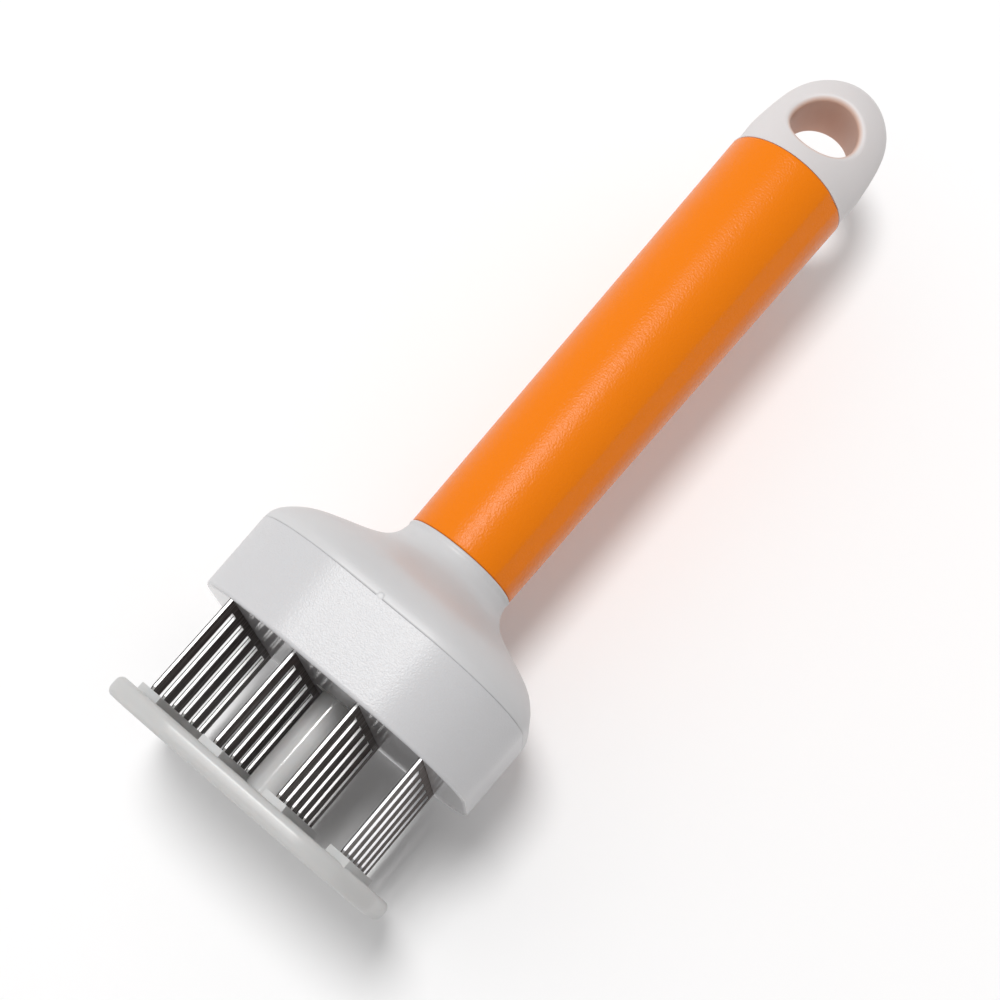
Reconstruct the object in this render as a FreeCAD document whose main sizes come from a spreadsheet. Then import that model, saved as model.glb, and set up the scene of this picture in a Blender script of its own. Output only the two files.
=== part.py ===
import FreeCAD, Part
import Sketcher
import math
import os

# Blade meat tenderizer. Z runs up the handle, the blade rows run along Y,
# and the origin is at the centre of the press plate's underside.

doc = FreeCAD.newDocument("MeatTenderizer")
dim = doc.addObject("Spreadsheet::Sheet", "dim")

SIZES = [
    # press plate and its four slotted pads
    ("plate_wide", 33.8), ("plate_deep", 34.6), ("plate_corner", 19.0), ("plate_thick", 4.3),
    ("plate_edge", 1.6), ("pad_width", 5.0), ("pad_overhang", 0.9), ("pad_top", 5.8),
    ("slot_width", 1.6), ("slot_end_gap", 0.5), ("recess_depth", 2.0), ("recess_gap", 0.2),
    # blade combs
    ("row_pitch", 15.7), ("tine_pitch", 10.9), ("tine_width", 4.2), ("blade_thick", 1.0),
    ("tine_tip", 1.0), ("spine_bottom", 26.6), ("spine_top", 33.1), ("tines", 6),
    # head: carrier below the seam, shell above it
    ("rim_height", 28.1), ("rim_edge", 0.8), ("seam_height", 45.5), ("head_wide", 33.9),
    ("head_deep", 35.0), ("head_corner", 24.0), ("skirt_wall", 2.4), ("skirt_inset", 0.25),
    ("skirt_taper", 0.8), ("floor_thick", 3.0), ("boss_radius", 3.4), ("boss_x", 15.7),
    ("boss_y", 20.0), ("bush_boss_wall", 2.0), ("shell_wall", 2.6), ("shell_roof", 1.8),
    # comb clamp and its screws
    ("clamp_gap", 1.5), ("clamp_thick", 2.5), ("clamp_hole", 9.5), ("screw_radius", 1.5),
    ("screw_head", 2.9), ("screw_head_rise", 1.9), ("screw_length", 6.0), ("screw_gap", 0.05),
    # plunger, bush, collar and spring
    ("rod_radius", 4.0), ("rod_top", 88.0), ("rod_chamfer", 1.0), ("rod_bore_depth", 8.0),
    ("running_gap", 0.06), ("fit_gap", 0.02), ("bush_radius", 6.0), ("bush_top", 44.0),
    ("flange_radius", 8.2), ("flange_thick", 1.6), ("collar_radius", 7.9), ("collar_thick", 2.6),
    ("clip_thick", 0.8), ("clip_depth", 0.6), ("clip_radius", 5.6), ("clip_mouth", 3.4),
    ("spring_radius", 6.9), ("wire_radius", 0.7), ("spring_turns", 7), ("spring_lead", 1.4),
    ("spring_end_gap", 0.4),
    ("seat_thick", 1.4), ("seat_bore_gap", 0.6), ("seat_rim_gap", 0.1),
    # handle core, grip and loop end
    ("core_radius", 11.2), ("core_bore", 9.0), ("core_upper_bore", 6.8), ("ledge_height", 112.0),
    ("core_top", 172.0), ("neck_height", 66.5), ("neck_radius", 13.0), ("grip_top", 177.5),
    ("grip_lower_radius", 13.2), ("grip_upper_radius", 14.9), ("grip_gap", 0.05),
    ("loop_top", 206.4), ("hole_height", 190.0), ("hole_radius", 7.6), ("hole_edge", 1.2),
    ("stem_depth", 16.0),
]
for row, (alias, number) in enumerate(SIZES, start=1):
    dim.set("A%d" % row, alias)
    dim.set("B%d" % row, str(number))
    dim.setAlias("B%d" % row, alias)
doc.recompute()


def size(alias):
    """The number in the sheet under this name."""
    return float(getattr(dim, alias))


def worked_out(expression):
    """The value of an expression on the sheet, used to place geometry before it is bound."""
    result = dim.evalExpression(expression)
    return float(getattr(result, "Value", result))


NODES = {}


def keep(obj, node):
    """Give a finished sub-part its name."""
    obj.Label = node
    NODES[node] = obj


def new_body(name):
    """An empty body with its own origin planes."""
    return doc.addObject("PartDesign::Body", name)


def new_sketch(body, name, role):
    """A sketch on one of the body's own origin planes."""
    sketch = body.newObject("Sketcher::SketchObject", name)
    plane = [item for item in body.Origin.OriginFeatures if item.Role == role][0]
    sketch.AttachmentSupport = [(plane, "")]
    sketch.MapMode = "FlatFace"
    return sketch


def bind(sketch, kind, *references):
    """Add a driven distance: the last reference is the expression that drives it."""
    expression = references[-1]
    index = sketch.addConstraint(Sketcher.Constraint(kind, *references[:-1], worked_out(expression)))
    sketch.setExpression("Constraints[%d]" % index, expression)


def outline(sketch, corners):
    """A closed polygon whose corners are pairs of expressions, all zero or more."""
    points = [FreeCAD.Vector(worked_out(a), worked_out(b), 0) for a, b in corners]
    count = len(points)
    for index in range(count):
        sketch.addGeometry(Part.LineSegment(points[index], points[(index + 1) % count]), False)
    for index, (first, second) in enumerate(corners):
        following = (index - 1) % count
        sketch.addConstraint(Sketcher.Constraint("Coincident", following, 2, index, 1))
        if abs(points[index].x) < 1e-9:
            sketch.addConstraint(Sketcher.Constraint("PointOnObject", index, 1, -2))
        else:
            bind(sketch, "DistanceX", -1, 1, index, 1, first)
        if abs(points[index].y) < 1e-9:
            sketch.addConstraint(Sketcher.Constraint("PointOnObject", index, 1, -1))
        else:
            bind(sketch, "DistanceY", -1, 1, index, 1, second)


def turned(name, corners):
    """A body of revolution about Z from (radius, height) corners."""
    body = new_body(name)
    sketch = new_sketch(body, name + "_profile", "XZ_Plane")
    outline(sketch, corners)
    turn = body.newObject("PartDesign::Revolution", name + "_turn")
    turn.Profile = sketch
    turn.ReferenceAxis = (sketch, ["V_Axis"])
    turn.Angle = 360
    body.Tip = turn
    return body


def rectangle(sketch, width, depth):
    """A rectangle about the sketch's origin, its sides bound to two expressions."""
    x = worked_out(width) / 2
    y = worked_out(depth) / 2
    corners = [FreeCAD.Vector(*p) for p in ((-x, -y, 0), (x, -y, 0), (x, y, 0), (-x, y, 0))]
    for index in range(4):
        sketch.addGeometry(Part.LineSegment(corners[index], corners[(index + 1) % 4]), False)
    for index in range(4):
        sketch.addConstraint(Sketcher.Constraint("Coincident", index, 2, (index + 1) % 4, 1))
    sketch.addConstraint(Sketcher.Constraint("Horizontal", 0))
    sketch.addConstraint(Sketcher.Constraint("Horizontal", 2))
    sketch.addConstraint(Sketcher.Constraint("Vertical", 1))
    sketch.addConstraint(Sketcher.Constraint("Vertical", 3))
    sketch.addConstraint(Sketcher.Constraint("Symmetric", 0, 1, 2, 1, -1, 1))
    bind(sketch, "DistanceX", 0, 1, 0, 2, width)
    bind(sketch, "DistanceY", 1, 1, 1, 2, depth)


def circle(sketch, radius, x=None, y=None):
    """A circle, at the origin or at a place bound to two expressions."""
    centre = FreeCAD.Vector(worked_out(x) if x else 0, worked_out(y) if y else 0, 0)
    index = sketch.addGeometry(Part.Circle(centre, FreeCAD.Vector(0, 0, 1), worked_out(radius)), False)
    if x:
        bind(sketch, "DistanceX", -1, 1, index, 3, x)
        bind(sketch, "DistanceY", -1, 1, index, 3, y)
    else:
        sketch.addConstraint(Sketcher.Constraint("Coincident", index, 3, -1, 1))
    bind(sketch, "Radius", index, radius)


def pad(body, sketch, length, offset=None, taper=None):
    """Pad a sketch upwards, its plane lifted by the offset."""
    if offset:
        sketch.setExpression("AttachmentOffset.Base.z", offset)
    feature = body.newObject("PartDesign::Pad", sketch.Name + "_pad")
    feature.Profile = sketch
    feature.setExpression("Length", length)
    if taper:
        feature.setExpression("TaperAngle", taper)
    body.Tip = feature
    return feature


def pocket(body, sketch, length, offset):
    """Pocket a sketch upwards from the offset, checked by the volume it takes away."""
    sketch.setExpression("AttachmentOffset.Base.z", offset)
    doc.recompute()
    before = body.Shape.Volume
    feature = body.newObject("PartDesign::Pocket", sketch.Name + "_cut")
    feature.Profile = sketch
    feature.setExpression("Length", length)
    feature.Reversed = True
    body.Tip = feature
    doc.recompute()
    assert body.Shape.Volume < before - 0.5, sketch.Name + " cuts nothing"


def steep_edges(shape):
    """Names of the straight edges that run mostly along Z."""
    names = []
    for number, edge in enumerate(shape.Edges, start=1):
        run = edge.Vertexes[-1].Point - edge.Vertexes[0].Point
        if run.Length > 0.1 and abs(run.z) / run.Length > 0.9:
            names.append("Edge%d" % number)
    return names


def level_edges(shape, height):
    """Names of the edges that lie flat at one height."""
    names = []
    for number, edge in enumerate(shape.Edges, start=1):
        box = edge.BoundBox
        if abs(box.ZMin - height) < 1e-4 and abs(box.ZMax - height) < 1e-4:
            names.append("Edge%d" % number)
    return names


def fillet(body, edges, radius):
    """Round some edges of the body as it stands."""
    doc.recompute()
    base = body.Tip
    feature = body.newObject("PartDesign::Fillet", body.Name + "_round_%d" % len(body.Group))
    feature.Base = (base, edges)
    feature.setExpression("Radius", radius)
    body.Tip = feature
    doc.recompute()


def repeated(body, feature, name, direction, length, count):
    """Repeat a feature at even steps against a sketch axis."""
    pattern = body.newObject("PartDesign::LinearPattern", name)
    pattern.Originals = [feature]
    pattern.Direction = direction
    pattern.setExpression("Length", length)
    pattern.setExpression("Occurrences", count)
    pattern.Reversed = True
    body.Tip = pattern
    doc.recompute()


ROW_END = "((dim.tines - 1) * dim.tine_pitch / 2 + dim.tine_width / 2)"

# Press plate: a rounded square with a soft edge, four raised pads and a slot
# through each pad for one comb, and a countersunk hole for the rod's screw.
plate = new_body("PressPlate")
plate_sketch = new_sketch(plate, "plate_square", "XY_Plane")
rectangle(plate_sketch, "2 * dim.plate_wide", "2 * dim.plate_deep")
pad(plate, plate_sketch, "dim.plate_thick")
doc.recompute()
fillet(plate, steep_edges(plate.Shape), "dim.plate_corner")
fillet(plate, level_edges(plate.Shape, 0.0), "dim.plate_edge")
fillet(plate, level_edges(plate.Shape, size("plate_thick")), "dim.plate_edge")


def row_rectangles(sketch, width, half_length):
    """Four rectangles, one on each blade row, mirrored about the middle."""
    for factor in (-1.5, -0.5, 0.5, 1.5):
        middle = factor * size("row_pitch")
        x = worked_out(width) / 2
        y = worked_out(half_length)
        first = sketch.GeometryCount
        points = ((middle - x, -y), (middle + x, -y), (middle + x, y), (middle - x, y))
        corners = [FreeCAD.Vector(a, b, 0) for a, b in points]
        for index in range(4):
            sketch.addGeometry(Part.LineSegment(corners[index], corners[(index + 1) % 4]), False)
        for index in range(4):
            following = first + (index + 1) % 4
            sketch.addConstraint(Sketcher.Constraint("Coincident", first + index, 2, following, 1))
        sketch.addConstraint(Sketcher.Constraint("Horizontal", first))
        sketch.addConstraint(Sketcher.Constraint("Horizontal", first + 2))
        sketch.addConstraint(Sketcher.Constraint("Vertical", first + 3))
        sketch.addConstraint(Sketcher.Constraint("Symmetric", first + 1, 1, first + 1, 2, -1))
        bind(sketch, "DistanceX", first, 1, first, 2, width)
        bind(sketch, "DistanceY", first + 1, 1, first + 1, 2, "2 * (%s)" % half_length)
        if factor < 0:
            bind(sketch, "DistanceX", first, 1, -1, 1, "%s * dim.row_pitch + (%s) / 2" % (-factor, width))
        else:
            bind(sketch, "DistanceX", -1, 1, first, 1, "%s * dim.row_pitch - (%s) / 2" % (factor, width))


pads_sketch = new_sketch(plate, "pads", "XY_Plane")
row_rectangles(pads_sketch, "dim.pad_width", ROW_END + " + dim.pad_overhang")
pad(plate, pads_sketch, "dim.pad_top - dim.plate_thick / 2", "dim.plate_thick / 2")
slots_sketch = new_sketch(plate, "slots", "XY_Plane")
row_rectangles(slots_sketch, "dim.slot_width", ROW_END + " + dim.slot_end_gap")
pocket(plate, slots_sketch, "dim.pad_top + 2", "-1")
hole_sketch = new_sketch(plate, "screw_hole", "XY_Plane")
circle(hole_sketch, "dim.screw_radius + dim.screw_gap")
pocket(plate, hole_sketch, "dim.pad_top + 2", "-1")
recess_sketch = new_sketch(plate, "screw_recess", "XY_Plane")
circle(recess_sketch, "dim.screw_head + dim.recess_gap")
pocket(plate, recess_sketch, "dim.recess_depth + 1", "-1")
keep(plate, "press_plate")

# Plunger rod: stands on the plate, bored for the screw below and grooved for the clip.
clip_level = "dim.bush_top + dim.collar_thick"
rod = turned("PlungerRod", [
    ("dim.screw_radius + dim.screw_gap", "dim.plate_thick"),
    ("dim.rod_radius", "dim.plate_thick"),
    ("dim.rod_radius", clip_level),
    ("dim.rod_radius - dim.clip_depth", clip_level),
    ("dim.rod_radius - dim.clip_depth", clip_level + " + dim.clip_thick"),
    ("dim.rod_radius", clip_level + " + dim.clip_thick"),
    ("dim.rod_radius", "dim.rod_top - dim.rod_chamfer"),
    ("dim.rod_radius - dim.rod_chamfer", "dim.rod_top"),
    ("0", "dim.rod_top"),
    ("0", "dim.plate_thick + dim.rod_bore_depth"),
    ("dim.screw_radius + dim.screw_gap", "dim.plate_thick + dim.rod_bore_depth"),
])
keep(rod, "plunger_rod")

# Plate screw: pan head in the plate's recess, shank up into the rod.
plate_screw = turned("PlateScrew", [
    ("0", "dim.recess_depth - dim.screw_head_rise + 0.3"),
    ("dim.screw_head", "dim.recess_depth - dim.screw_head_rise + 0.3"),
    ("dim.screw_head", "dim.recess_depth"),
    ("dim.screw_radius", "dim.recess_depth"),
    ("dim.screw_radius", "dim.plate_thick + dim.rod_bore_depth - 1"),
    ("0", "dim.plate_thick + dim.rod_bore_depth - 1"),
])
keep(plate_screw, "plate_screw")

# Stop collar: rests on the bush and keeps the plunger from falling out.
collar = turned("StopCollar", [
    ("dim.rod_radius + dim.fit_gap", "dim.bush_top"),
    ("dim.collar_radius", "dim.bush_top"),
    ("dim.collar_radius", clip_level),
    ("dim.rod_radius + dim.fit_gap", clip_level),
])
keep(collar, "stop_collar")

# Retaining clip: a split ring in the rod's groove, on top of the collar.
clip = turned("CollarClip", [
    ("dim.rod_radius - dim.clip_depth", clip_level),
    ("dim.clip_radius", clip_level),
    ("dim.clip_radius", clip_level + " + dim.clip_thick"),
    ("dim.rod_radius - dim.clip_depth", clip_level + " + dim.clip_thick"),
])
gap_sketch = new_sketch(clip, "clip_gap", "XY_Plane")
outline(gap_sketch, [
    ("0", "0"),
    ("dim.clip_radius + 1", "0"),
    ("dim.clip_radius + 1", "dim.clip_mouth"),
    ("0", "dim.clip_mouth"),
])
pocket(clip, gap_sketch, "dim.clip_thick + 2", clip_level + " - 1")
keep(clip, "collar_clip")

# Guide bush: lines the carrier's central hole, flange below the floor's boss.
bush = turned("GuideBush", [
    ("dim.rod_radius + dim.running_gap", "dim.rim_height"),
    ("dim.bush_radius", "dim.rim_height"),
    ("dim.bush_radius", "dim.bush_top - dim.flange_thick"),
    ("dim.flange_radius", "dim.bush_top - dim.flange_thick"),
    ("dim.flange_radius", "dim.bush_top"),
    ("dim.rod_radius + dim.running_gap", "dim.bush_top"),
])
keep(bush, "guide_bush")

# Spring seat: a thin washer under the ledge inside the handle's core.
seat = turned("SpringSeat", [
    ("dim.rod_radius + dim.seat_bore_gap", "dim.ledge_height - dim.seat_thick"),
    ("dim.core_bore - dim.seat_rim_gap", "dim.ledge_height - dim.seat_thick"),
    ("dim.core_bore - dim.seat_rim_gap", "dim.ledge_height"),
    ("dim.rod_radius + dim.seat_bore_gap", "dim.ledge_height"),
])
keep(seat, "spring_seat")


def comb_body(number):
    """One stamped comb: a spine along Y with six tines, their tips cut to a point."""
    body = new_body("BladeComb%d" % number)
    spine = new_sketch(body, "spine_%d" % number, "YZ_Plane")
    y = worked_out(ROW_END)
    low = size("spine_bottom")
    high = size("spine_top")
    corners = [FreeCAD.Vector(*p) for p in ((-y, low, 0), (y, low, 0), (y, high, 0), (-y, high, 0))]
    for index in range(4):
        spine.addGeometry(Part.LineSegment(corners[index], corners[(index + 1) % 4]), False)
    for index in range(4):
        spine.addConstraint(Sketcher.Constraint("Coincident", index, 2, (index + 1) % 4, 1))
    spine.addConstraint(Sketcher.Constraint("Horizontal", 2))
    spine.addConstraint(Sketcher.Constraint("Vertical", 3))
    spine.addConstraint(Sketcher.Constraint("Symmetric", 0, 1, 0, 2, -2))
    bind(spine, "DistanceX", 0, 1, 0, 2, "2 * " + ROW_END)
    bind(spine, "DistanceY", -1, 1, 0, 1, "dim.spine_bottom")
    bind(spine, "DistanceY", -1, 1, 2, 1, "dim.spine_top")
    spine_pad = pad(body, spine, "dim.blade_thick")
    spine_pad.Midplane = True
    tine = new_sketch(body, "tine_%d" % number, "YZ_Plane")
    inner = ROW_END + " - dim.tine_width"
    outline(tine, [
        (inner, "dim.tine_tip + dim.tine_width * 0.9"),
        (ROW_END + " - dim.tine_width * 0.4", "dim.tine_tip"),
        (ROW_END, "dim.tine_tip + dim.tine_width * 0.45"),
        (ROW_END, "(dim.spine_bottom + dim.spine_top) / 2"),
        (inner, "(dim.spine_bottom + dim.spine_top) / 2"),
    ])
    tine_pad = pad(body, tine, "dim.blade_thick")
    tine_pad.Midplane = True
    doc.recompute()
    repeated(body, tine_pad, "tines_%d" % number, (tine, ["H_Axis"]),
             "dim.tine_pitch * (dim.tines - 1)", "dim.tines")
    body.setExpression("Placement.Base.x", "%s * dim.row_pitch" % (number - 2.5))
    return body


for number in range(1, 5):
    keep(comb_body(number), "blade_comb_%d" % number)

# Blade carrier: the lower half of the head, a skirt round a floor that holds
# the combs in four slots, with a bored boss for the bush and four screw bosses.
carrier = new_body("BladeCarrier")
skirt_sketch = new_sketch(carrier, "skirt_square", "XY_Plane")
rectangle(skirt_sketch, "2 * (dim.head_wide - dim.skirt_inset)", "2 * (dim.head_deep - dim.skirt_inset)")
pad(carrier, skirt_sketch, "dim.seam_height - dim.rim_height", "dim.rim_height", "dim.skirt_taper")
doc.recompute()
fillet(carrier, steep_edges(carrier.Shape), "dim.head_corner")
fillet(carrier, level_edges(carrier.Shape, size("rim_height")), "dim.rim_edge")
cavity = new_body("CavityTool")
cavity_sketch = new_sketch(cavity, "cavity_square", "XY_Plane")
rectangle(cavity_sketch, "2 * (dim.head_wide - dim.skirt_wall)", "2 * (dim.head_deep - dim.skirt_wall)")
pad(cavity, cavity_sketch, "dim.seam_height - dim.rim_height", "dim.rim_height + dim.floor_thick")
doc.recompute()
fillet(cavity, steep_edges(cavity.Shape), "dim.head_corner - dim.skirt_wall")
carrier_hollow = doc.addObject("Part::Cut", "CarrierHollow")
carrier_hollow.Base = carrier
carrier_hollow.Tool = cavity

fittings = new_body("CarrierFittings")
fitting_sketch = new_sketch(fittings, "bush_boss", "XY_Plane")
circle(fitting_sketch, "dim.bush_radius + dim.bush_boss_wall")
pad(fittings, fitting_sketch, "dim.bush_top - dim.flange_thick - dim.rim_height - dim.floor_thick / 2",
    "dim.rim_height + dim.floor_thick / 2")
carrier_fused = doc.addObject("Part::MultiFuse", "CarrierFused")
screw_bosses = []
drills = []
SCREW_PLACES = [(sx, sy) for sx in (-1, 1) for sy in (-1, 1)]
for index, (sx, sy) in enumerate(SCREW_PLACES):
    boss = doc.addObject("Part::Cylinder", "ScrewBoss%d" % index)
    boss.setExpression("Radius", "dim.boss_radius")
    boss.setExpression("Height", "dim.spine_top - dim.rim_height - dim.floor_thick / 2")
    boss.setExpression("Placement.Base.x", "%d * dim.boss_x" % sx)
    boss.setExpression("Placement.Base.y", "%d * dim.boss_y" % sy)
    boss.setExpression("Placement.Base.z", "dim.rim_height + dim.floor_thick / 2")
    screw_bosses.append(boss)
    drill = doc.addObject("Part::Cylinder", "ScrewDrill%d" % index)
    drill.setExpression("Radius", "dim.screw_radius + dim.screw_gap")
    drill.setExpression("Height", "dim.screw_length + dim.screw_head")
    drill.setExpression("Placement.Base.x", "%d * dim.boss_x" % sx)
    drill.setExpression("Placement.Base.y", "%d * dim.boss_y" % sy)
    drill.setExpression("Placement.Base.z", "dim.spine_top + dim.clamp_thick - dim.screw_length - dim.fit_gap")
    drills.append(drill)
clamp_drills = doc.addObject("Part::MultiFuse", "ClampDrills")
clamp_drills.Shapes = list(drills)
carrier_fused.Shapes = [carrier_hollow, fittings] + screw_bosses
for index in range(4):
    slot = doc.addObject("Part::Box", "CombSlot%d" % index)
    slot.setExpression("Length", "dim.blade_thick + 2 * dim.fit_gap")
    slot.setExpression("Width", "2 * (%s + dim.fit_gap)" % ROW_END)
    slot.setExpression("Height", "dim.spine_top - dim.rim_height + 1")
    slot.setExpression("Placement.Base.x",
                       "%s * dim.row_pitch - dim.blade_thick / 2 - dim.fit_gap" % (index - 1.5))
    slot.setExpression("Placement.Base.y", "-(%s + dim.fit_gap)" % ROW_END)
    slot.setExpression("Placement.Base.z", "dim.rim_height - 1")
    drills.append(slot)
bush_drill = doc.addObject("Part::Cylinder", "BushDrill")
bush_drill.setExpression("Radius", "dim.bush_radius")
bush_drill.setExpression("Height", "dim.bush_top")
bush_drill.setExpression("Placement.Base.z", "dim.rim_height - 1")
drills.append(bush_drill)
tools = doc.addObject("Part::MultiFuse", "CarrierTools")
tools.Shapes = drills
carrier_done = doc.addObject("Part::Cut", "CarrierDone")
carrier_done.Base = carrier_fused
carrier_done.Tool = tools
keep(carrier_done, "blade_carrier")

# Comb clamp: a plate across the tops of the combs, screwed to the four bosses.
clamp = new_body("CombClamp")
clamp_sketch = new_sketch(clamp, "clamp_square", "XY_Plane")
rectangle(clamp_sketch, "2 * (dim.head_wide - dim.skirt_wall - dim.clamp_gap)",
          "2 * (dim.head_deep - dim.skirt_wall - dim.clamp_gap)")
pad(clamp, clamp_sketch, "dim.clamp_thick", "dim.spine_top")
doc.recompute()
fillet(clamp, steep_edges(clamp.Shape), "dim.head_corner - dim.skirt_wall - dim.clamp_gap")
middle_sketch = new_sketch(clamp, "clamp_middle", "XY_Plane")
circle(middle_sketch, "dim.clamp_hole")
pocket(clamp, middle_sketch, "dim.clamp_thick + 2", "dim.spine_top - 1")
clamp_holed = doc.addObject("Part::Cut", "ClampHoled")
clamp_holed.Base = clamp
clamp_holed.Tool = clamp_drills
keep(clamp_holed, "comb_clamp")

# Clamp screws: four pan-head screws down through the clamp into the bosses.
clamp_top = "dim.spine_top + dim.clamp_thick"
screw = turned("ClampScrew", [
    ("0", clamp_top + " - dim.screw_length"),
    ("dim.screw_radius", clamp_top + " - dim.screw_length"),
    ("dim.screw_radius", clamp_top),
    ("dim.screw_head", clamp_top),
    ("dim.screw_head", clamp_top + " + dim.screw_head_rise * 0.6"),
    ("dim.screw_head * 0.7", clamp_top + " + dim.screw_head_rise"),
    ("0", clamp_top + " + dim.screw_head_rise"),
])
doc.recompute()
screws = doc.addObject("Part::Feature", "ClampScrews")
copies = []
for sx, sy in SCREW_PLACES:
    copy = screw.Shape.copy()
    copy.translate(FreeCAD.Vector(sx * size("boss_x"), sy * size("boss_y"), 0))
    copies.append(copy)
screws.Shape = Part.makeCompound(copies)
keep(screws, "clamp_screws")


def rounded_wire(wide, deep, corner, height):
    """A rounded oblong of straight sides and quarter arcs, flat at one height."""
    flat_x = wide - corner
    flat_y = deep - corner
    bulge = corner * math.sqrt(0.5)
    starts = [(wide, -flat_y), (flat_x, deep), (-wide, flat_y), (-flat_x, -deep)]
    ends = [(wide, flat_y), (-flat_x, deep), (-wide, -flat_y), (flat_x, -deep)]
    signs = [(1, 1), (-1, 1), (-1, -1), (1, -1)]
    edges = []
    for side in range(4):
        start = FreeCAD.Vector(*starts[side], height)
        end = FreeCAD.Vector(*ends[side], height)
        sign_x, sign_y = signs[side]
        middle = FreeCAD.Vector(sign_x * (flat_x + bulge), sign_y * (flat_y + bulge), height)
        following = FreeCAD.Vector(*starts[(side + 1) % 4], height)
        edges.append(Part.makeLine(start, end))
        edges.append(Part.Arc(end, middle, following).toShape())
    return Part.Wire(edges)


# Head shell: the upper half of the head, a shoulder that draws in from the
# rounded square at the seam to the round neck, with the handle's core above.
SHOULDER = [(0.0, 1.0), (0.10, 0.985), (0.24, 0.90), (0.38, 0.745), (0.50, 0.52),
            (0.60, 0.31), (0.70, 0.145), (0.80, 0.055), (0.91, 0.015), (1.0, 0.0)]


def shoulder_sections(steps, inset, drop):
    """Sections of the shoulder from the seam upwards, moved in by the inset and down by the drop."""
    base = size("seam_height")
    rise = size("neck_height") - base
    neck = size("neck_radius")
    wires = []
    for along, spread in steps:
        wide = neck + (size("head_wide") - neck) * spread - inset
        deep = neck + (size("head_deep") - neck) * spread - inset
        straight = (size("head_wide") - size("head_corner")) * spread ** 1.8 + 0.05
        wires.append(rounded_wire(wide, deep, wide - straight, base + rise * along - drop))
    return wires


up = FreeCAD.Vector(0, 0, 1)
shoulder = Part.makeLoft(shoulder_sections(SHOULDER, 0.0, 0.0), True, False)
hollow = Part.makeLoft(shoulder_sections(SHOULDER[:6], size("shell_wall"), size("shell_roof")), True, False)
core_foot = size("seam_height") + size("shell_wall")
core = Part.makeCylinder(size("core_radius"), size("core_top") - core_foot,
                         FreeCAD.Vector(0, 0, core_foot), up)
lower_bore = Part.makeCylinder(size("core_bore"), size("ledge_height") - size("seam_height") + 1,
                               FreeCAD.Vector(0, 0, size("seam_height") - 1), up)
upper_bore = Part.makeCylinder(size("core_upper_bore"), size("core_top"),
                               FreeCAD.Vector(0, 0, size("ledge_height") - 1), up)
shell_shape = shoulder.cut(hollow).fuse(core).cut(lower_bore).cut(upper_bore)
shell = doc.addObject("Part::Feature", "HeadShell")
shell.Shape = shell_shape.removeSplitter()
keep(shell, "head_shell")

# Grip sleeve: the long orange sleeve, wider towards the loop end.
grip = turned("GripSleeve", [
    ("dim.core_radius + dim.grip_gap", "dim.neck_height"),
    ("dim.grip_lower_radius", "dim.neck_height"),
    ("dim.grip_upper_radius", "dim.grip_top"),
    ("dim.core_radius + dim.grip_gap", "dim.grip_top"),
])
keep(grip, "grip_sleeve")


def ellipse_wire(wide, deep, height):
    """An ellipse across the handle, wide along X and deep along Y."""
    centre = FreeCAD.Vector(0, 0, height)
    if wide - deep < 1e-6:
        return Part.Wire(Part.makeCircle(wide, centre))
    curve = Part.Ellipse(FreeCAD.Vector(wide, 0, height), FreeCAD.Vector(0, deep, height), centre)
    return Part.Wire(curve.toShape())


# Loop end: draws in from the round grip to a flattened ring with a hanging
# hole, and its stem plugs the core.
LOOP_STEPS = [(0.0, 1.0, 1.0), (0.18, 0.99, 0.86), (0.36, 0.97, 0.74), (0.54, 0.92, 0.655),
              (0.70, 0.835, 0.58), (0.84, 0.67, 0.475), (0.94, 0.445, 0.33), (1.0, 0.15, 0.12)]
loop_base = size("grip_top")
loop_rise = size("loop_top") - loop_base
loop_radius = size("grip_upper_radius")
ring = []
for along, wide, deep in LOOP_STEPS:
    ring.append(ellipse_wire(loop_radius * wide, loop_radius * deep, loop_base + loop_rise * along))
loop_shape = Part.makeLoft(ring, True, False)
hole = Part.makeCylinder(size("hole_radius"), 4 * loop_radius,
                         FreeCAD.Vector(0, -2 * loop_radius, size("hole_height")),
                         FreeCAD.Vector(0, 1, 0))
holed = loop_shape.cut(hole)
hole_rims = []
for edge in holed.Edges:
    box = edge.BoundBox
    if box.ZMin > size("hole_height") - size("hole_radius") - 0.1 and box.YMin * box.YMax > 0:
        if box.ZMax < size("hole_height") + size("hole_radius") + 0.1:
            hole_rims.append(edge)
rounded_loop = holed.makeFillet(size("hole_edge"), hole_rims)
stem = Part.makeCylinder(size("core_radius"), loop_base - size("core_top"),
                         FreeCAD.Vector(0, 0, size("core_top")), up)
plug = Part.makeCylinder(size("core_upper_bore") - size("fit_gap"), size("stem_depth"),
                         FreeCAD.Vector(0, 0, size("core_top") - size("stem_depth")), up)
loop = doc.addObject("Part::Feature", "LoopCap")
loop.Shape = rounded_loop.fuse([stem, plug]).removeSplitter()
keep(loop, "loop_cap")

# Return spring: one round wire wound up the rod from the collar to the seat,
# each quarter turn a pair of arcs, with a short straight lead at both ends.
spring_low = size("bush_top") + size("collar_thick") + size("wire_radius") + size("spring_end_gap")
spring_high = size("ledge_height") - size("seat_thick") - size("wire_radius") - size("spring_end_gap")
coil_rise = spring_high - spring_low
turns = int(size("spring_turns"))


def coil_point(turned_by):
    """The wire's centre after a number of turns."""
    angle = 2 * math.pi * turned_by
    height = spring_low + coil_rise * turned_by / turns
    radius = size("spring_radius")
    return FreeCAD.Vector(radius * math.cos(angle), radius * math.sin(angle), height)


def coil_direction(turned_by):
    """The wire's unit tangent after a number of turns."""
    angle = 2 * math.pi * turned_by
    slope = coil_rise / turns / (2 * math.pi * size("spring_radius"))
    return FreeCAD.Vector(-math.sin(angle), math.cos(angle), slope).normalize()


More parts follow.
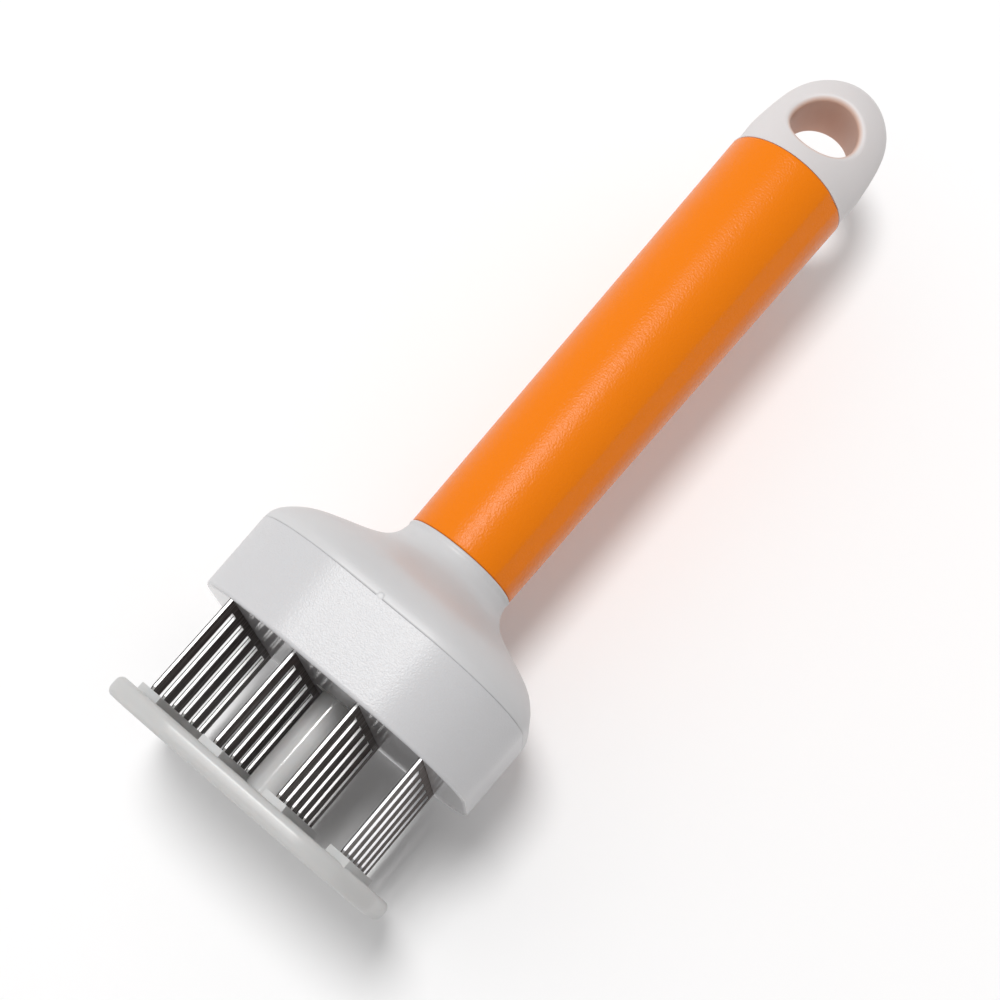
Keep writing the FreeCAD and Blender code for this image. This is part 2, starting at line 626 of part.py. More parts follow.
def arc_from(start, direction, end):
    """The arc that leaves the start along a direction and reaches the end."""
    chord = end - start
    across = chord - direction * chord.dot(direction)
    radius = chord.Length ** 2 / (2 * across.Length)
    centre = start + across.normalize() * radius
    halfway = (start + end) * 0.5 - centre
    return Part.Arc(start, centre + halfway.normalize() * radius, end).toShape()


def biarc(start, leaving, end, arriving):
    """Two arcs that share a tangent where they meet."""
    span = end - start
    both = leaving + arriving
    # both arms have one length d, which solves |span - d (leaving + arriving)| = 2 d
    a = both.dot(both) - 4
    b = -2 * span.dot(both)
    c = span.dot(span)
    reach = (-b - math.sqrt(b * b - 4 * a * c)) / (2 * a)
    joint = (start + leaving * reach + end - arriving * reach) * 0.5
    meeting = (end - arriving * reach - start - leaving * reach).normalize()
    return [arc_from(start, leaving, joint), arc_from(joint, meeting, end)]


path = [Part.makeLine(coil_point(0) - coil_direction(0) * size("spring_lead"), coil_point(0))]
for quarter in range(4 * turns):
    here = quarter / 4
    there = (quarter + 1) / 4
    path += biarc(coil_point(here), coil_direction(here), coil_point(there), coil_direction(there))
path.append(Part.makeLine(coil_point(turns), coil_point(turns) + coil_direction(turns) * size("spring_lead")))
coil = Part.BRepOffsetAPI.MakePipeShell(Part.Wire(path))
first_point = coil_point(0) - coil_direction(0) * size("spring_lead")
coil.add(Part.Wire(Part.makeCircle(size("wire_radius"), first_point, coil_direction(0))), False, False)
coil.build()
coil.makeSolid()
spring = doc.addObject("Part::Feature", "ReturnSpring")
spring.Shape = coil.shape()
keep(spring, "return_spring")

# The least gap of the wire to itself, measured between points a half turn or more apart.
samples = [coil_point(step / 48) for step in range(48 * turns + 1)]
least = min((samples[j] - samples[i]).Length
            for i in range(len(samples)) for j in range(i + 24, len(samples)))
print("spring's least gap to itself %.2f mm" % (least - 2 * size("wire_radius")))

doc.recompute()
for obj in doc.Objects:
    assert "Invalid" not in obj.State and "Error" not in obj.State, obj.Name + " failed"
os.makedirs("parts", exist_ok=True)
for node, obj in NODES.items():
    shape = obj.Shape
    assert not shape.isNull() and shape.isValid(), node + " is not valid"
    shape.exportStep("parts/%s.step" % node)
    box = shape.BoundBox
    print("%-14s solids %d volume %9.1f x %6.1f %6.1f y %6.1f %6.1f z %6.1f %6.1f" % (
        node, len(shape.Solids), shape.Volume, box.XMin, box.XMax, box.YMin, box.YMax, box.ZMin, box.ZMax))
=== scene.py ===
import bpy
import math
import numpy as np
from mathutils import Matrix, Vector


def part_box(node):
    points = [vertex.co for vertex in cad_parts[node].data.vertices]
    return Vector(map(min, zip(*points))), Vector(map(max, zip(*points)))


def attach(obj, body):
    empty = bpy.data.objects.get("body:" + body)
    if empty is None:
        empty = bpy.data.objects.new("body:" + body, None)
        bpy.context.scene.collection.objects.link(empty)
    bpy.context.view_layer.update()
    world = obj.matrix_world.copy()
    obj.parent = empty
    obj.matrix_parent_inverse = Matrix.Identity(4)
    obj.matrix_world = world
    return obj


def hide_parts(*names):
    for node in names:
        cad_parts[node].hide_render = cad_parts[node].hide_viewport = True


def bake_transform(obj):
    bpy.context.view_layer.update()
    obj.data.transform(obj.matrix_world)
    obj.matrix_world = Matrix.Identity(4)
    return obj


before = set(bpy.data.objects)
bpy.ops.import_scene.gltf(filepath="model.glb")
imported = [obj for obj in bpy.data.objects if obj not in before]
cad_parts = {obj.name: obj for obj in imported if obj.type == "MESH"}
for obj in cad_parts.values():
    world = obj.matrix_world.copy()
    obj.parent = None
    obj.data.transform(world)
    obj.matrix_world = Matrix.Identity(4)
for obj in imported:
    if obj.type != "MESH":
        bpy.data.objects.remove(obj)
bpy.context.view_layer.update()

# Camera
# Placed by a perspective fit to the photograph: it looks down on the tool as it
# lies, from the front and a little to the right of the head.
MM = 0.001
camera_place = Vector((61.63, -357.20, 4.47)) * MM
camera_ahead = Vector((-0.1721, 0.9626, 0.2091)).normalized()
camera_down = Vector((0.6158, 0.2708, -0.7399))
focal_pixels = 1768.3
picture_pixels = 1000
camera_data = bpy.data.cameras.new("camera")
camera_data.sensor_width = 36.0
camera_data.lens = focal_pixels / picture_pixels * camera_data.sensor_width
camera_data.clip_start = 0.01
camera = bpy.data.objects.new("camera", camera_data)
back = -camera_ahead
up = (-camera_down - (-camera_down).dot(back) * back).normalized()
right = up.cross(back)
turn = Matrix((right, up, back)).transposed()
camera.matrix_world = Matrix.Translation(camera_place) @ turn.to_4x4()
bpy.context.scene.collection.objects.link(camera)
bpy.context.scene.camera = camera
bpy.context.scene.view_settings.view_transform = "Standard"

# Table top
# The tool lies on the far side of its heavy head, with the handle held up clear of
# a white table. Seen from behind, the table lets the view through, and it lets light
# through to whatever lies close to it, so that the far side isn't black.
table_gap = 0.1 * MM
table_half = 3.0
corner_signs = ((-1, -1), (1, -1), (1, 1), (-1, 1))
lit_near = 2 * MM
lit_far = 15 * MM
table_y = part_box("head_shell")[1].y + table_gap
corners = [(x * table_half, table_y, z * table_half) for x, z in corner_signs]
table_mesh = bpy.data.meshes.new("table")
table_mesh.from_pydata(corners, [], [(0, 1, 2, 3)])
table_mesh.update()
table = bpy.data.objects.new("table", table_mesh)
bpy.context.scene.collection.objects.link(table)
paper = bpy.data.materials.new("white_table")
paper.use_nodes = True
nodes = paper.node_tree.nodes
links = paper.node_tree.links
nodes.clear()
out = nodes.new("ShaderNodeOutputMaterial")
white = nodes.new("ShaderNodeBsdfDiffuse")
white.inputs["Color"].default_value = (0.93, 0.925, 0.925, 1)
clear = nodes.new("ShaderNodeBsdfTransparent")
pick = nodes.new("ShaderNodeMixShader")
facing = nodes.new("ShaderNodeNewGeometry")
path = nodes.new("ShaderNodeLightPath")
close = nodes.new("ShaderNodeMapRange")
close.inputs["From Min"].default_value = lit_near
close.inputs["From Max"].default_value = lit_far
close.inputs["To Min"].default_value = 1.0
close.inputs["To Max"].default_value = 0.0
share = nodes.new("ShaderNodeMath")
share.operation = "MAXIMUM"
links.new(path.outputs["Ray Length"], close.inputs["Value"])
links.new(close.outputs["Result"], share.inputs[0])
links.new(facing.outputs["Backfacing"], share.inputs[1])
links.new(share.outputs[0], pick.inputs["Fac"])
links.new(white.outputs[0], pick.inputs[1])
links.new(clear.outputs[0], pick.inputs[2])
links.new(pick.outputs[0], out.inputs["Surface"])
table.data.materials.append(paper)

# Surroundings
# A white room, brighter on the left. Its strength in a direction is the level, times
# one less the lean times the direction's share towards the right.
room_level = 0.58
room_lean = 0.5
world = bpy.data.worlds.new("room")
bpy.context.scene.world = world
world.use_nodes = True
room_nodes = world.node_tree.nodes
room_links = world.node_tree.links
room = room_nodes["Background"]
room.inputs["Color"].default_value = (1.0, 1.0, 1.0, 1)
room_way = room_nodes.new("ShaderNodeTexCoord")
to_right = room_nodes.new("ShaderNodeVectorMath")
to_right.operation = "DOT_PRODUCT"
to_right.inputs[1].default_value = right
room_light = room_nodes.new("ShaderNodeMath")
room_light.operation = "MULTIPLY_ADD"
room_light.inputs[1].default_value = -room_level * room_lean
room_light.inputs[2].default_value = room_level
room_links.new(room_way.outputs["Generated"], to_right.inputs[0])
room_links.new(to_right.outputs["Value"], room_light.inputs[0])
room_links.new(room_light.outputs[0], room.inputs["Strength"])

# Key lamp
# A round lamp above the picture and a little to its left, which throws the shadows
# down the table.
lamp_aim = Vector((0, 0, 0.09))
lamp_rise = 0.5
lamp_left = 0.05
lamp_distance = 1.5
lamp_way = (up * lamp_rise + back - right * lamp_left).normalized()
lamp_data = bpy.data.lights.new("key", "AREA")
lamp_data.shape = "DISK"
lamp_data.size = 0.42
lamp_data.energy = 12.6
lamp = bpy.data.objects.new("key", lamp_data)
lamp.location = lamp_aim + lamp_way * lamp_distance
lamp.rotation_euler = lamp_way.to_track_quat("Z", "Y").to_euler()
bpy.context.scene.collection.objects.link(lamp)


# Blade carrier
# The skirt of the head, which holds the combs. It is moulded in white plastic with a
# coarse grain on its outside, and its underside is smooth and glossy.
def new_finish(name, colour, roughness, specular):
    """A finish of one colour, and its surface node, for a piece's own nodes to add to."""
    material = bpy.data.materials.new(name)
    material.use_nodes = True
    surface = material.node_tree.nodes["Principled BSDF"]
    surface.inputs["Base Color"].default_value = (*colour, 1)
    surface.inputs["Roughness"].default_value = roughness
    surface.inputs["Specular IOR Level"].default_value = specular
    return material, surface


def plastic(name, colour, roughness, subsurface=0.0, grain=0.0, grain_size=0.3, specular=0.5,
            under_roughness=None):
    """Moulded plastic with a fine grain, its size in millimetres and its depth a fifth of
    that. Faces that look down can be left smooth, with a roughness of their own."""
    glow_reach = 2.5 * MM
    glow_colours = (1.0, 0.8, 0.7)
    grain_depth = grain_size * 0.2 * MM
    smooth_below = -0.95
    grained_above = -0.5
    material, surface = new_finish(name, colour, roughness, specular)
    tree = material.node_tree
    surface.inputs["Subsurface Weight"].default_value = subsurface
    surface.inputs["Subsurface Scale"].default_value = glow_reach
    surface.inputs["Subsurface Radius"].default_value = glow_colours
    if grain:
        place = tree.nodes.new("ShaderNodeTexCoord")
        noise = tree.nodes.new("ShaderNodeTexNoise")
        noise.inputs["Scale"].default_value = 1.0 / (grain_size * MM)
        noise.inputs["Detail"].default_value = 2.0
        bump = tree.nodes.new("ShaderNodeBump")
        bump.inputs["Strength"].default_value = grain
        bump.inputs["Distance"].default_value = grain_depth
        tree.links.new(place.outputs["Object"], noise.inputs["Vector"])
        tree.links.new(noise.outputs["Fac"], bump.inputs["Height"])
        tree.links.new(bump.outputs["Normal"], surface.inputs["Normal"])
    if grain and under_roughness is not None:
        facing = tree.nodes.new("ShaderNodeNewGeometry")
        parts = tree.nodes.new("ShaderNodeSeparateXYZ")
        sideways = tree.nodes.new("ShaderNodeMapRange")
        sideways.inputs["From Min"].default_value = smooth_below
        sideways.inputs["From Max"].default_value = grained_above
        strength = tree.nodes.new("ShaderNodeMath")
        strength.operation = "MULTIPLY"
        strength.inputs[1].default_value = grain
        gloss = tree.nodes.new("ShaderNodeMapRange")
        gloss.inputs["To Min"].default_value = under_roughness
        gloss.inputs["To Max"].default_value = roughness
        tree.links.new(facing.outputs["True Normal"], parts.inputs[0])
        tree.links.new(parts.outputs["Z"], sideways.inputs["Value"])
        tree.links.new(sideways.outputs["Result"], strength.inputs[0])
        tree.links.new(strength.outputs[0], bump.inputs["Strength"])
        tree.links.new(sideways.outputs["Result"], gloss.inputs["Value"])
        tree.links.new(gloss.outputs["Result"], surface.inputs["Roughness"])
    return material


def give_finish(material, *nodes):
    """Put one finish on CAD pieces, in place of what they came with."""
    for node in nodes:
        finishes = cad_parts[node].data.materials
        finishes.clear()
        finishes.append(material)


skirt_plastic = plastic("skirt_plastic", (0.57, 0.565, 0.575), roughness=0.33, subsurface=0.1,
                        grain=0.9, grain_size=0.36, specular=0.42, under_roughness=0.12)
give_finish(skirt_plastic, "blade_carrier")

# Head shell
# White plastic, moulded in one with the handle's core, with a fine groove at the seam
# and a small bead that ends the neck under the grip. Sizes are in millimetres, and
# those named wide and deep are half sizes.
shell_plastic = plastic("shell_plastic", (0.585, 0.58, 0.585), roughness=0.42, subsurface=0.1,
                        grain=0.2, grain_size=0.35)
head_wide = 33.9
head_deep = 35.0
head_corner = 24.0
neck_radius = 13.0
neck_height = 66.5
seam = 45.5
shoulder_rings = 90
corner_fade = 1.8
least_straight = 0.02
shoulder_curve = np.array([
    (0.0, 1.0), (0.10, 0.985), (0.24, 0.90), (0.38, 0.745), (0.50, 0.52),
    (0.60, 0.31), (0.70, 0.145), (0.80, 0.055), (0.91, 0.015), (1.0, 0.0)])
shoulder_start = seam + 0.9
shoulder_end = neck_height - 1.4
# The curve gives the spread by the share of the height. The groove is pairs of rise over
# the seam and inset, and the bead is pairs of height and how far it stands proud.
groove = ((0.0, 3.0), (0.0, 0.34), (0.04, 0.30), (0.16, 0.12), (0.30, 0.04), (0.5, 0.0))
bead = ((65.3, 0.02), (65.6, 0.10), (65.8, 0.20), (66.0, 0.27), (66.2, 0.27),
        (66.36, 0.20), (66.46, 0.08), (66.5, -0.08), (66.5, -1.6))


def add_piece(name, points, faces, materials, body, smooth=True, face_slots=None):
    """Make one finished piece from points in millimetres and put it on its body."""
    mesh = bpy.data.meshes.new(name)
    mesh.from_pydata((np.asarray(points) * MM).tolist(), [], [list(face) for face in faces])
    for material in materials:
        mesh.materials.append(material)
    mesh.polygons.foreach_set("use_smooth", [smooth] * len(mesh.polygons))
    if face_slots is not None:
        mesh.polygons.foreach_set("material_index", face_slots)
    mesh.validate()
    mesh.update()
    piece = bpy.data.objects.new(name, mesh)
    bpy.context.scene.collection.objects.link(piece)
    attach(piece, body)
    return piece


def ring_faces(rings, around):
    """Quads between closed rings of points: a point and the next one on its ring, with the
    two above them. They face out when the rings, turning left seen from above, go up."""
    ring, step = np.mgrid[0:rings - 1, 0:around]
    following = (step + 1) % around
    low = ring * around
    high = low + around
    quads = np.stack([low + step, low + following, high + following, high + step], axis=-1)
    return quads.reshape(-1, 4).tolist()


def smooth_curve(places, values, at):
    """Cubic through the values. On each stretch it is a blend of the two end values and of
    the two end slopes times the stretch's length, the slopes taken from the neighbours."""
    slopes = np.gradient(values, places)
    stretch = np.clip(np.searchsorted(places, at, side="right") - 1, 0, len(places) - 2)
    length = places[stretch + 1] - places[stretch]
    t = (at - places[stretch]) / length
    from_values = ((2 * t**3 - 3 * t**2 + 1) * values[stretch]
                   + (3 * t**2 - 2 * t**3) * values[stretch + 1])
    from_slopes = ((t**3 - 2 * t**2 + t) * length * slopes[stretch]
                   + (t**3 - t**2) * length * slopes[stretch + 1])
    return from_values + from_slopes


def oblong(wide, deep, corner, height, arc_steps=28, side_steps=6):
    """Points round a rounded oblong: on each quarter the arc's centre plus the corner
    radius along the angle, then even steps to where the next arc starts."""
    flat_x = wide - corner
    flat_y = deep - corner
    quarters = ((1, 1), (-1, 1), (-1, -1), (1, -1))
    points = []
    for quarter, (side_x, side_y) in enumerate(quarters):
        angles = np.pi / 2 * (quarter + np.linspace(0, 1, arc_steps))
        arc = np.column_stack([side_x * flat_x + corner * np.cos(angles),
                               side_y * flat_y + corner * np.sin(angles)])
        next_x, next_y = quarters[(quarter + 1) % 4]
        next_start = np.array([next_x * flat_x + corner * np.cos(angles[-1]),
                               next_y * flat_y + corner * np.sin(angles[-1])])
        shares = np.linspace(0, 1, side_steps + 2)[1:-1, None]
        points += [arc, arc[-1] + (next_start - arc[-1]) * shares]
    flat = np.concatenate(points)
    return np.column_stack([flat, np.full(len(flat), height)])


def shell_section(height, inset):
    """Rounded oblong at a height of the shoulder: each half size is the neck's radius plus
    the shoulder curve times what the head has more, less the inset."""
    along = np.clip((height - seam) / (neck_height - seam), 0, 1)
    spread = max(0.0, float(smooth_curve(shoulder_curve[:, 0], shoulder_curve[:, 1], along)))
    wide = neck_radius + (head_wide - neck_radius) * spread - inset
    deep = neck_radius + (head_deep - neck_radius) * spread - inset
    straight = (head_wide - head_corner) * spread**corner_fade + least_straight
    return oblong(wide, deep, wide - straight, height)


shell_profile = [(seam + rise, inset) for rise, inset in groove]
for height in np.linspace(shoulder_start, shoulder_end, shoulder_rings):
    shell_profile.append((height, 0.0))
shell_profile += [(height, -proud) for height, proud in bead]
shell_rings = [shell_section(height, inset) for height, inset in shell_profile]
shell = add_piece("shell", np.concatenate(shell_rings),
                  ring_faces(len(shell_rings), len(shell_rings[0])),
                  [shell_plastic], "tool")
give_finish(shell_plastic, "head_shell")
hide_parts("head_shell")

# Gate mark
# The small round nub that moulding leaves on the seam, in the middle of the front. It
# rises from its rim by one less the fourth power of the share of its radius.
nub_x = -1.25
nub_height = 45.9
nub_radius = 0.85
nub_rise = 0.125
nub_sink = 0.11
nub_least = 0.05
nub_rings = 9
nub_around = 40


def grid_points(x, y, z):
    """Points of a grid from its three coordinates, one ring after the other."""
    return np.stack(np.broadcast_arrays(x, y, z), axis=-1).reshape(-1, 3)


nub_angles = np.linspace(0, 2 * np.pi, nub_around, endpoint=False)
nub_shares = np.linspace(1, nub_least, nub_rings)[:, None]
nub_points = grid_points(nub_x + nub_radius * nub_shares * np.cos(nub_angles),
                         -head_deep + nub_sink - nub_rise * (1 - nub_shares**4),
                         nub_height + nub_radius * nub_shares * np.sin(nub_angles))
nub_top = tuple(range((nub_rings - 1) * nub_around, nub_rings * nub_around))
add_piece("gate_mark", nub_points, ring_faces(nub_rings, nub_around) + [nub_top],
          [shell_plastic], "tool")

# Grip sleeve
# Orange plastic sleeve over the handle's core, wider towards the loop. One side is
# drawn in to a shallow flat, which leaves a soft line along the handle.
grip_orange = plastic("grip_orange", (0.81, 0.195, 0.002), roughness=0.27, grain=1.0,
                      grain_size=0.42, specular=0.18)
grip_bottom = 66.56
grip_top = 177.44
grip_lower = 13.2
grip_upper = 14.9
grip_around = 240
grip_rings = 60
flat_start = math.radians(-47)
flat_width = math.radians(20)
rim_deep = 1.0
grip_rim = ((0.0, 1.8), (0.0, 0.28), (0.05, 0.12), (0.16, 0.03), (0.3, 0.0))
grip_profile = [(grip_bottom + gap, inset) for gap, inset in grip_rim]
for height in np.linspace(grip_bottom + rim_deep, grip_top - rim_deep, grip_rings):
    grip_profile.append((height, 0.0))
grip_profile += [(grip_top - gap, inset) for gap, inset in reversed(grip_rim)]
grip_heights, grip_insets = np.array(grip_profile).T[..., None]
grip_angles = np.linspace(0, 2 * np.pi, grip_around, endpoint=False)
# The radius grows evenly from end to end. On the flat it is also times the cosine of half
# the flat's angle, over the cosine of the angle from its middle.
from_middle = (grip_angles - flat_start - flat_width / 2 + np.pi) % (2 * np.pi) - np.pi
on_flat = np.abs(from_middle) < flat_width / 2
flat_share = np.where(on_flat, np.cos(flat_width / 2) / np.cos(from_middle), 1.0)
grip_shares = (grip_heights - grip_bottom) / (grip_top - grip_bottom)
grip_radii = (grip_lower + (grip_upper - grip_lower) * grip_shares) * flat_share - grip_insets
grip_points = grid_points(grip_radii * np.cos(grip_angles), grip_radii * np.sin(grip_angles),
                          grip_heights)
grip = add_piece("grip", grip_points, ring_faces(len(grip_profile), grip_around),
                 [grip_orange], "tool")
give_finish(grip_orange, "grip_sleeve")
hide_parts("grip_sleeve")

# Loop cap
# White plastic end of the handle, with the hanging hole and a spigot inside the grip.
# The hole's wall has a warm tint, painted bounce light from the orange grip, which comes in with
# the nearness to the hole's axis.
loop_white = (0.655, 0.622, 0.618)
# painted bounce light: the warm colour the hole's wall takes near its axis
bore_painted_bounce = (0.68, 0.47, 0.38)
hole_height = 190.0 * MM
bounce_start = 8.6 * MM
bounce_full = 7.7 * MM
loop_plastic = plastic("loop_plastic", loop_white, roughness=0.5, subsurface=0.12, grain=0.1)
loop_nodes = loop_plastic.node_tree.nodes
loop_links = loop_plastic.node_tree.links
hole_place = loop_nodes.new("ShaderNodeTexCoord")
from_axis = loop_nodes.new("ShaderNodeVectorMath")
from_axis.operation = "SUBTRACT"
from_axis.inputs[1].default_value = (0, 0, hole_height)
flattened = loop_nodes.new("ShaderNodeVectorMath")
flattened.operation = "MULTIPLY"
flattened.inputs[1].default_value = (1, 0, 1)
axis_gap = loop_nodes.new("ShaderNodeVectorMath")
axis_gap.operation = "LENGTH"
bounce_share = loop_nodes.new("ShaderNodeMapRange")
bounce_share.inputs["From Min"].default_value = bounce_start
bounce_share.inputs["From Max"].default_value = bounce_full
bounce_mix = loop_nodes.new("ShaderNodeMixRGB")
bounce_mix.inputs["Color1"].default_value = (*loop_white, 1)
bounce_mix.inputs["Color2"].default_value = (*bore_painted_bounce, 1)
loop_links.new(hole_place.outputs["Object"], from_axis.inputs[0])
loop_links.new(from_axis.outputs[0], flattened.inputs[0])
loop_links.new(flattened.outputs[0], axis_gap.inputs[0])
loop_links.new(axis_gap.outputs["Value"], bounce_share.inputs["Value"])
loop_links.new(bounce_share.outputs["Result"], bounce_mix.inputs["Fac"])
loop_links.new(bounce_mix.outputs[0], loop_nodes["Principled BSDF"].inputs["Base Color"])
give_finish(loop_plastic, "loop_cap")


# Blade combs
# Four stamped steel combs of six pointed tines, the last one narrower, clamped in the
# head. The cut edges are bright between dark corners, of which one is wider; the dark
# corners are painted dark reflection, and the rolled faces are painted shade, dark with streaks.
# The last comb's cut edges are a greyer copy of the bright ones, painted shade.
def metal(name, colour, roughness, metallic=1.0, specular=0.5):
    """Metal of one colour, or, where metallic is nought, a dull surface of that colour, which the
    combs use for painted shade.
    """
    material, surface = new_finish(name, colour, roughness, specular)
    surface.inputs["Metallic"].default_value = metallic
    return material


edge_bright = metal("edge_bright", (0.84, 0.83, 0.82), roughness=0.52)
# painted shade: the last comb's cut edges get a greyer, duller copy of the bright edge metal
edge_painted_shade = metal("edge_painted_shade", (0.62, 0.62, 0.63), roughness=0.55)
# painted dark reflection: dull near-black bands along the corners of each cut edge
line_painted_shade = metal("line_painted_shade", (0.03, 0.025, 0.025), roughness=0.5, metallic=0.0, specular=0.05)
# painted shade: the rolled faces are dull and near black in place of steel's dark reflection of
# shade, with lighter streaks from the ramp below
face_painted_shade = metal("face_painted_shade", (0.05, 0.038, 0.034), roughness=0.4, metallic=0.0, specular=0.05)
streaks_per_metre = (900, 900, 45)
face_tree = face_painted_shade.node_tree
place = face_tree.nodes.new("ShaderNodeTexCoord")
stretched = face_tree.nodes.new("ShaderNodeMapping")
stretched.inputs["Scale"].default_value = streaks_per_metre
streaks = face_tree.nodes.new("ShaderNodeTexNoise")
streaks.inputs["Scale"].default_value = 1.0
streaks.inputs["Detail"].default_value = 3.0
tones = face_tree.nodes.new("ShaderNodeValToRGB")
tones.color_ramp.elements[0].position = 0.45
tones.color_ramp.elements[0].color = (0.07, 0.048, 0.042, 1)
tones.color_ramp.elements[1].position = 0.78
tones.color_ramp.elements[1].color = (0.24, 0.22, 0.21, 1)
face_tree.links.new(place.outputs["Object"], stretched.inputs["Vector"])
face_tree.links.new(stretched.outputs["Vector"], streaks.inputs["Vector"])
face_tree.links.new(streaks.outputs["Fac"], tones.inputs["Fac"])
face_tree.links.new(tones.outputs["Color"], face_tree.nodes["Principled BSDF"].inputs["Base Color"])
row_count = 4
row_pitch = 15.7
tine_count = 6
tine_pitch = 10.9
tine_width = 6.1
last_width = 4.2
tine_tip = 1.0
spine_bottom = 26.6
spine_top = 33.1
half_thick = 0.38
edge_cut = 0.06
line_wide = 0.21
# Each comb is one outline in Y and Z, carried along X from one station to the next. The
# tip's place and the rises to its two sides are shares of the tine's width.
tip_share = 0.6
near_rise = 0.9
far_rise = 0.45
row_end = (tine_count - 1) * tine_pitch / 2 + last_width / 2

comb_outline = [(-row_end, spine_top)]
for tine in range(tine_count):
    left = -row_end + tine * tine_pitch
    wide = last_width if tine == tine_count - 1 else tine_width
    if tine:
        comb_outline.append((left, spine_bottom))
    comb_outline.append((left, tine_tip + wide * near_rise))
    comb_outline.append((left + wide * tip_share, tine_tip))
    comb_outline.append((left + wide, tine_tip + wide * far_rise))
    if tine < tine_count - 1:
        comb_outline.append((left + wide, spine_bottom))
comb_outline.append((row_end, spine_top))
comb_outline = np.array(comb_outline)


def drawn_in(outline, distance):
    """The closed outline moved inwards: each corner goes along the sum of its two sides'
    inward directions, over one plus their product, times the distance."""
    to_next = np.roll(outline, -1, axis=0) - outline
    to_next /= np.linalg.norm(to_next, axis=1)[:, None]
    inward = np.column_stack([-to_next[:, 1], to_next[:, 0]])
    before = np.roll(inward, 1, axis=0)
    mitre = (inward + before) / (1 + np.sum(inward * before, axis=1))[:, None]
    return outline + mitre * distance


comb_small = drawn_in(comb_outline, edge_cut)
corner_count = len(comb_outline)
stations = [(-half_thick, comb_small), (-half_thick + edge_cut, comb_outline),
            (-half_thick + line_wide, comb_outline), (half_thick - edge_cut, comb_outline),
            (half_thick, comb_small)]
across = np.array([station for station, shape in stations])[:, None]
shapes = np.array([shape for station, shape in stations])
edge_slot, line_slot, face_slot = 0, 1, 2
band_slots = [line_slot, line_slot, edge_slot, line_slot]
comb_slots = np.repeat(band_slots, corner_count).tolist() + [face_slot, face_slot]
first_face = tuple(reversed(range(corner_count)))
last_face = tuple(range((len(stations) - 1) * corner_count, len(stations) * corner_count))
comb_faces = ring_faces(len(stations), corner_count) + [first_face, last_face]
# The last comb takes the painted shade copy of the edge metal.
row_edges = [edge_bright, edge_bright, edge_bright, edge_painted_shade]
for row in range(row_count):
    middle = (row - (row_count - 1) / 2) * row_pitch
    comb_points = grid_points(middle + across, shapes[..., 0], shapes[..., 1])
    comb = add_piece("comb_%d" % (row + 1), comb_points, comb_faces,
                     [row_edges[row], line_painted_shade, face_painted_shade], "tool", smooth=False,
                     face_slots=comb_slots)
    give_finish(face_painted_shade, "blade_comb_%d" % (row + 1))
    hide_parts("blade_comb_%d" % (row + 1))

# Fittings inside
# Clamp, bush and stop collar are acetal, and the screws, clip and spring seat are steel.
# Most of them are hidden. The head of the plate screw shows under the plate.
acetal = plastic("acetal", (0.62, 0.62, 0.60), roughness=0.4)
fastener_steel = metal("fastener_steel", (0.5, 0.5, 0.5), roughness=0.35)
give_finish(acetal, "comb_clamp", "guide_bush", "stop_collar")
give_finish(fastener_steel, "clamp_screws", "collar_clip", "spring_seat", "plate_screw")

# Plunger rod
# Smooth and slightly milky white plastic post, which slides in the bush. The press
# plate is screwed to its lower end.
rod_plastic = plastic("rod_plastic", (0.76, 0.755, 0.75), roughness=0.1, subsurface=0.3)
give_finish(rod_plastic, "plunger_rod")

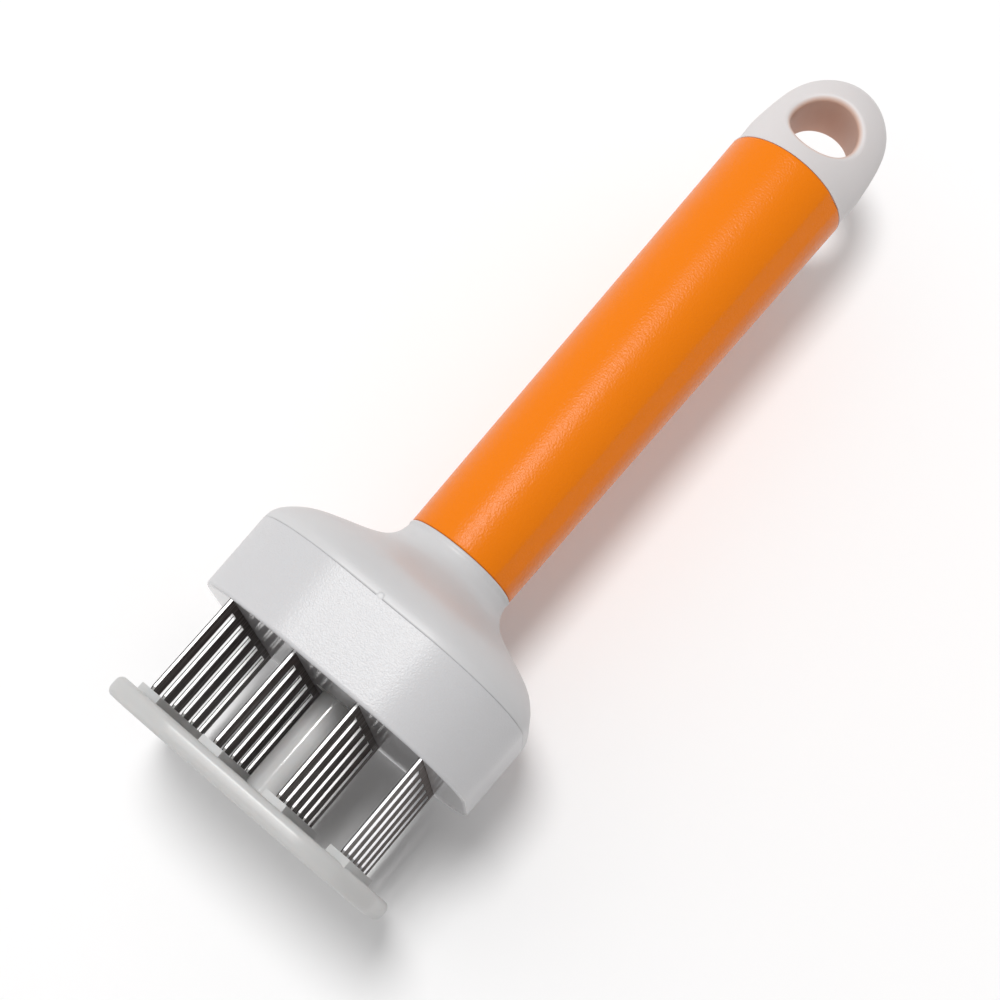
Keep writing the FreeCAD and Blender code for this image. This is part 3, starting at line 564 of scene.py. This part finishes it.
# Press plate
# Milky white plastic with four raised pads, each slotted for one comb. It takes the
# CAD's faces, with the outer band drawn in a little and the sharp edges eased.
plate_wide = 33.8
plate_deep = 34.6
plate_corner = 19.0
plate_band = 4.0
plate_pull = 0.7
least_reach = 1e-6
merge_decimals = 4
through_share = 0.35
sharp_angle = math.radians(38)
eased_angle = math.radians(50)
eased_width = 0.4 * MM
plate_plastic = plastic("plate_plastic", (0.64, 0.64, 0.635), roughness=0.28, subsurface=0.4)
plate_nodes = plate_plastic.node_tree.nodes
plate_links = plate_plastic.node_tree.links
let_through = plate_nodes.new("ShaderNodeBsdfTranslucent")
let_through.inputs["Color"].default_value = (0.92, 0.91, 0.9, 1)
milky = plate_nodes.new("ShaderNodeMixShader")
milky.inputs["Fac"].default_value = through_share
plate_links.new(plate_nodes["Principled BSDF"].outputs[0], milky.inputs[1])
plate_links.new(let_through.outputs[0], milky.inputs[2])
plate_links.new(milky.outputs[0], plate_nodes["Material Output"].inputs["Surface"])
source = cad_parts["press_plate"].data
loose_points = np.zeros(len(source.vertices) * 3)
source.vertices.foreach_get("co", loose_points)
loose_corners = np.zeros(len(source.loops), dtype=np.int32)
source.loops.foreach_get("vertex_index", loose_corners)
plate_points, merged = np.unique(np.round(loose_points.reshape(-1, 3) / MM, merge_decimals),
                                 axis=0, return_inverse=True)
triangles = merged.ravel()[loose_corners].reshape(-1, 3)
whole = (triangles != np.roll(triangles, 1, axis=1)).all(axis=1)
# A point moves in by the pull, times one less its depth in the outline over the band.
plate_core = (plate_wide - plate_corner, plate_deep - plate_corner)
from_core = np.abs(plate_points[:, :2]) - plate_core
outside = np.maximum(from_core, 0)
reach = np.linalg.norm(outside, axis=1)
depth = plate_corner - reach - np.minimum(from_core.max(axis=1), 0)
pulled = plate_pull * np.clip(1 - depth / plate_band, 0, 1)
away = outside / np.maximum(reach, least_reach)[:, None] * np.sign(plate_points[:, :2])
plate_points[:, :2] -= away * pulled[:, None]
plate = add_piece("plate", plate_points, triangles[whole].tolist(), [plate_plastic], "plunger")
plate.data.set_sharp_from_angle(angle=sharp_angle)
eased = plate.modifiers.new("eased", "BEVEL")
eased.width = eased_width
eased.segments = 2
eased.limit_method = "ANGLE"
eased.angle_limit = eased_angle
give_finish(plate_plastic, "press_plate")
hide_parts("press_plate")

# Return spring
# Steel wire coil inside the handle's core, from the stop collar up to its seat. It is
# copied into a piece of its own, with its placement baked in.
give_finish(fastener_steel, "return_spring")
spring = bpy.data.objects.new("spring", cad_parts["return_spring"].data.copy())
bpy.context.scene.collection.objects.link(spring)
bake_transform(spring)
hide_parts("return_spring")
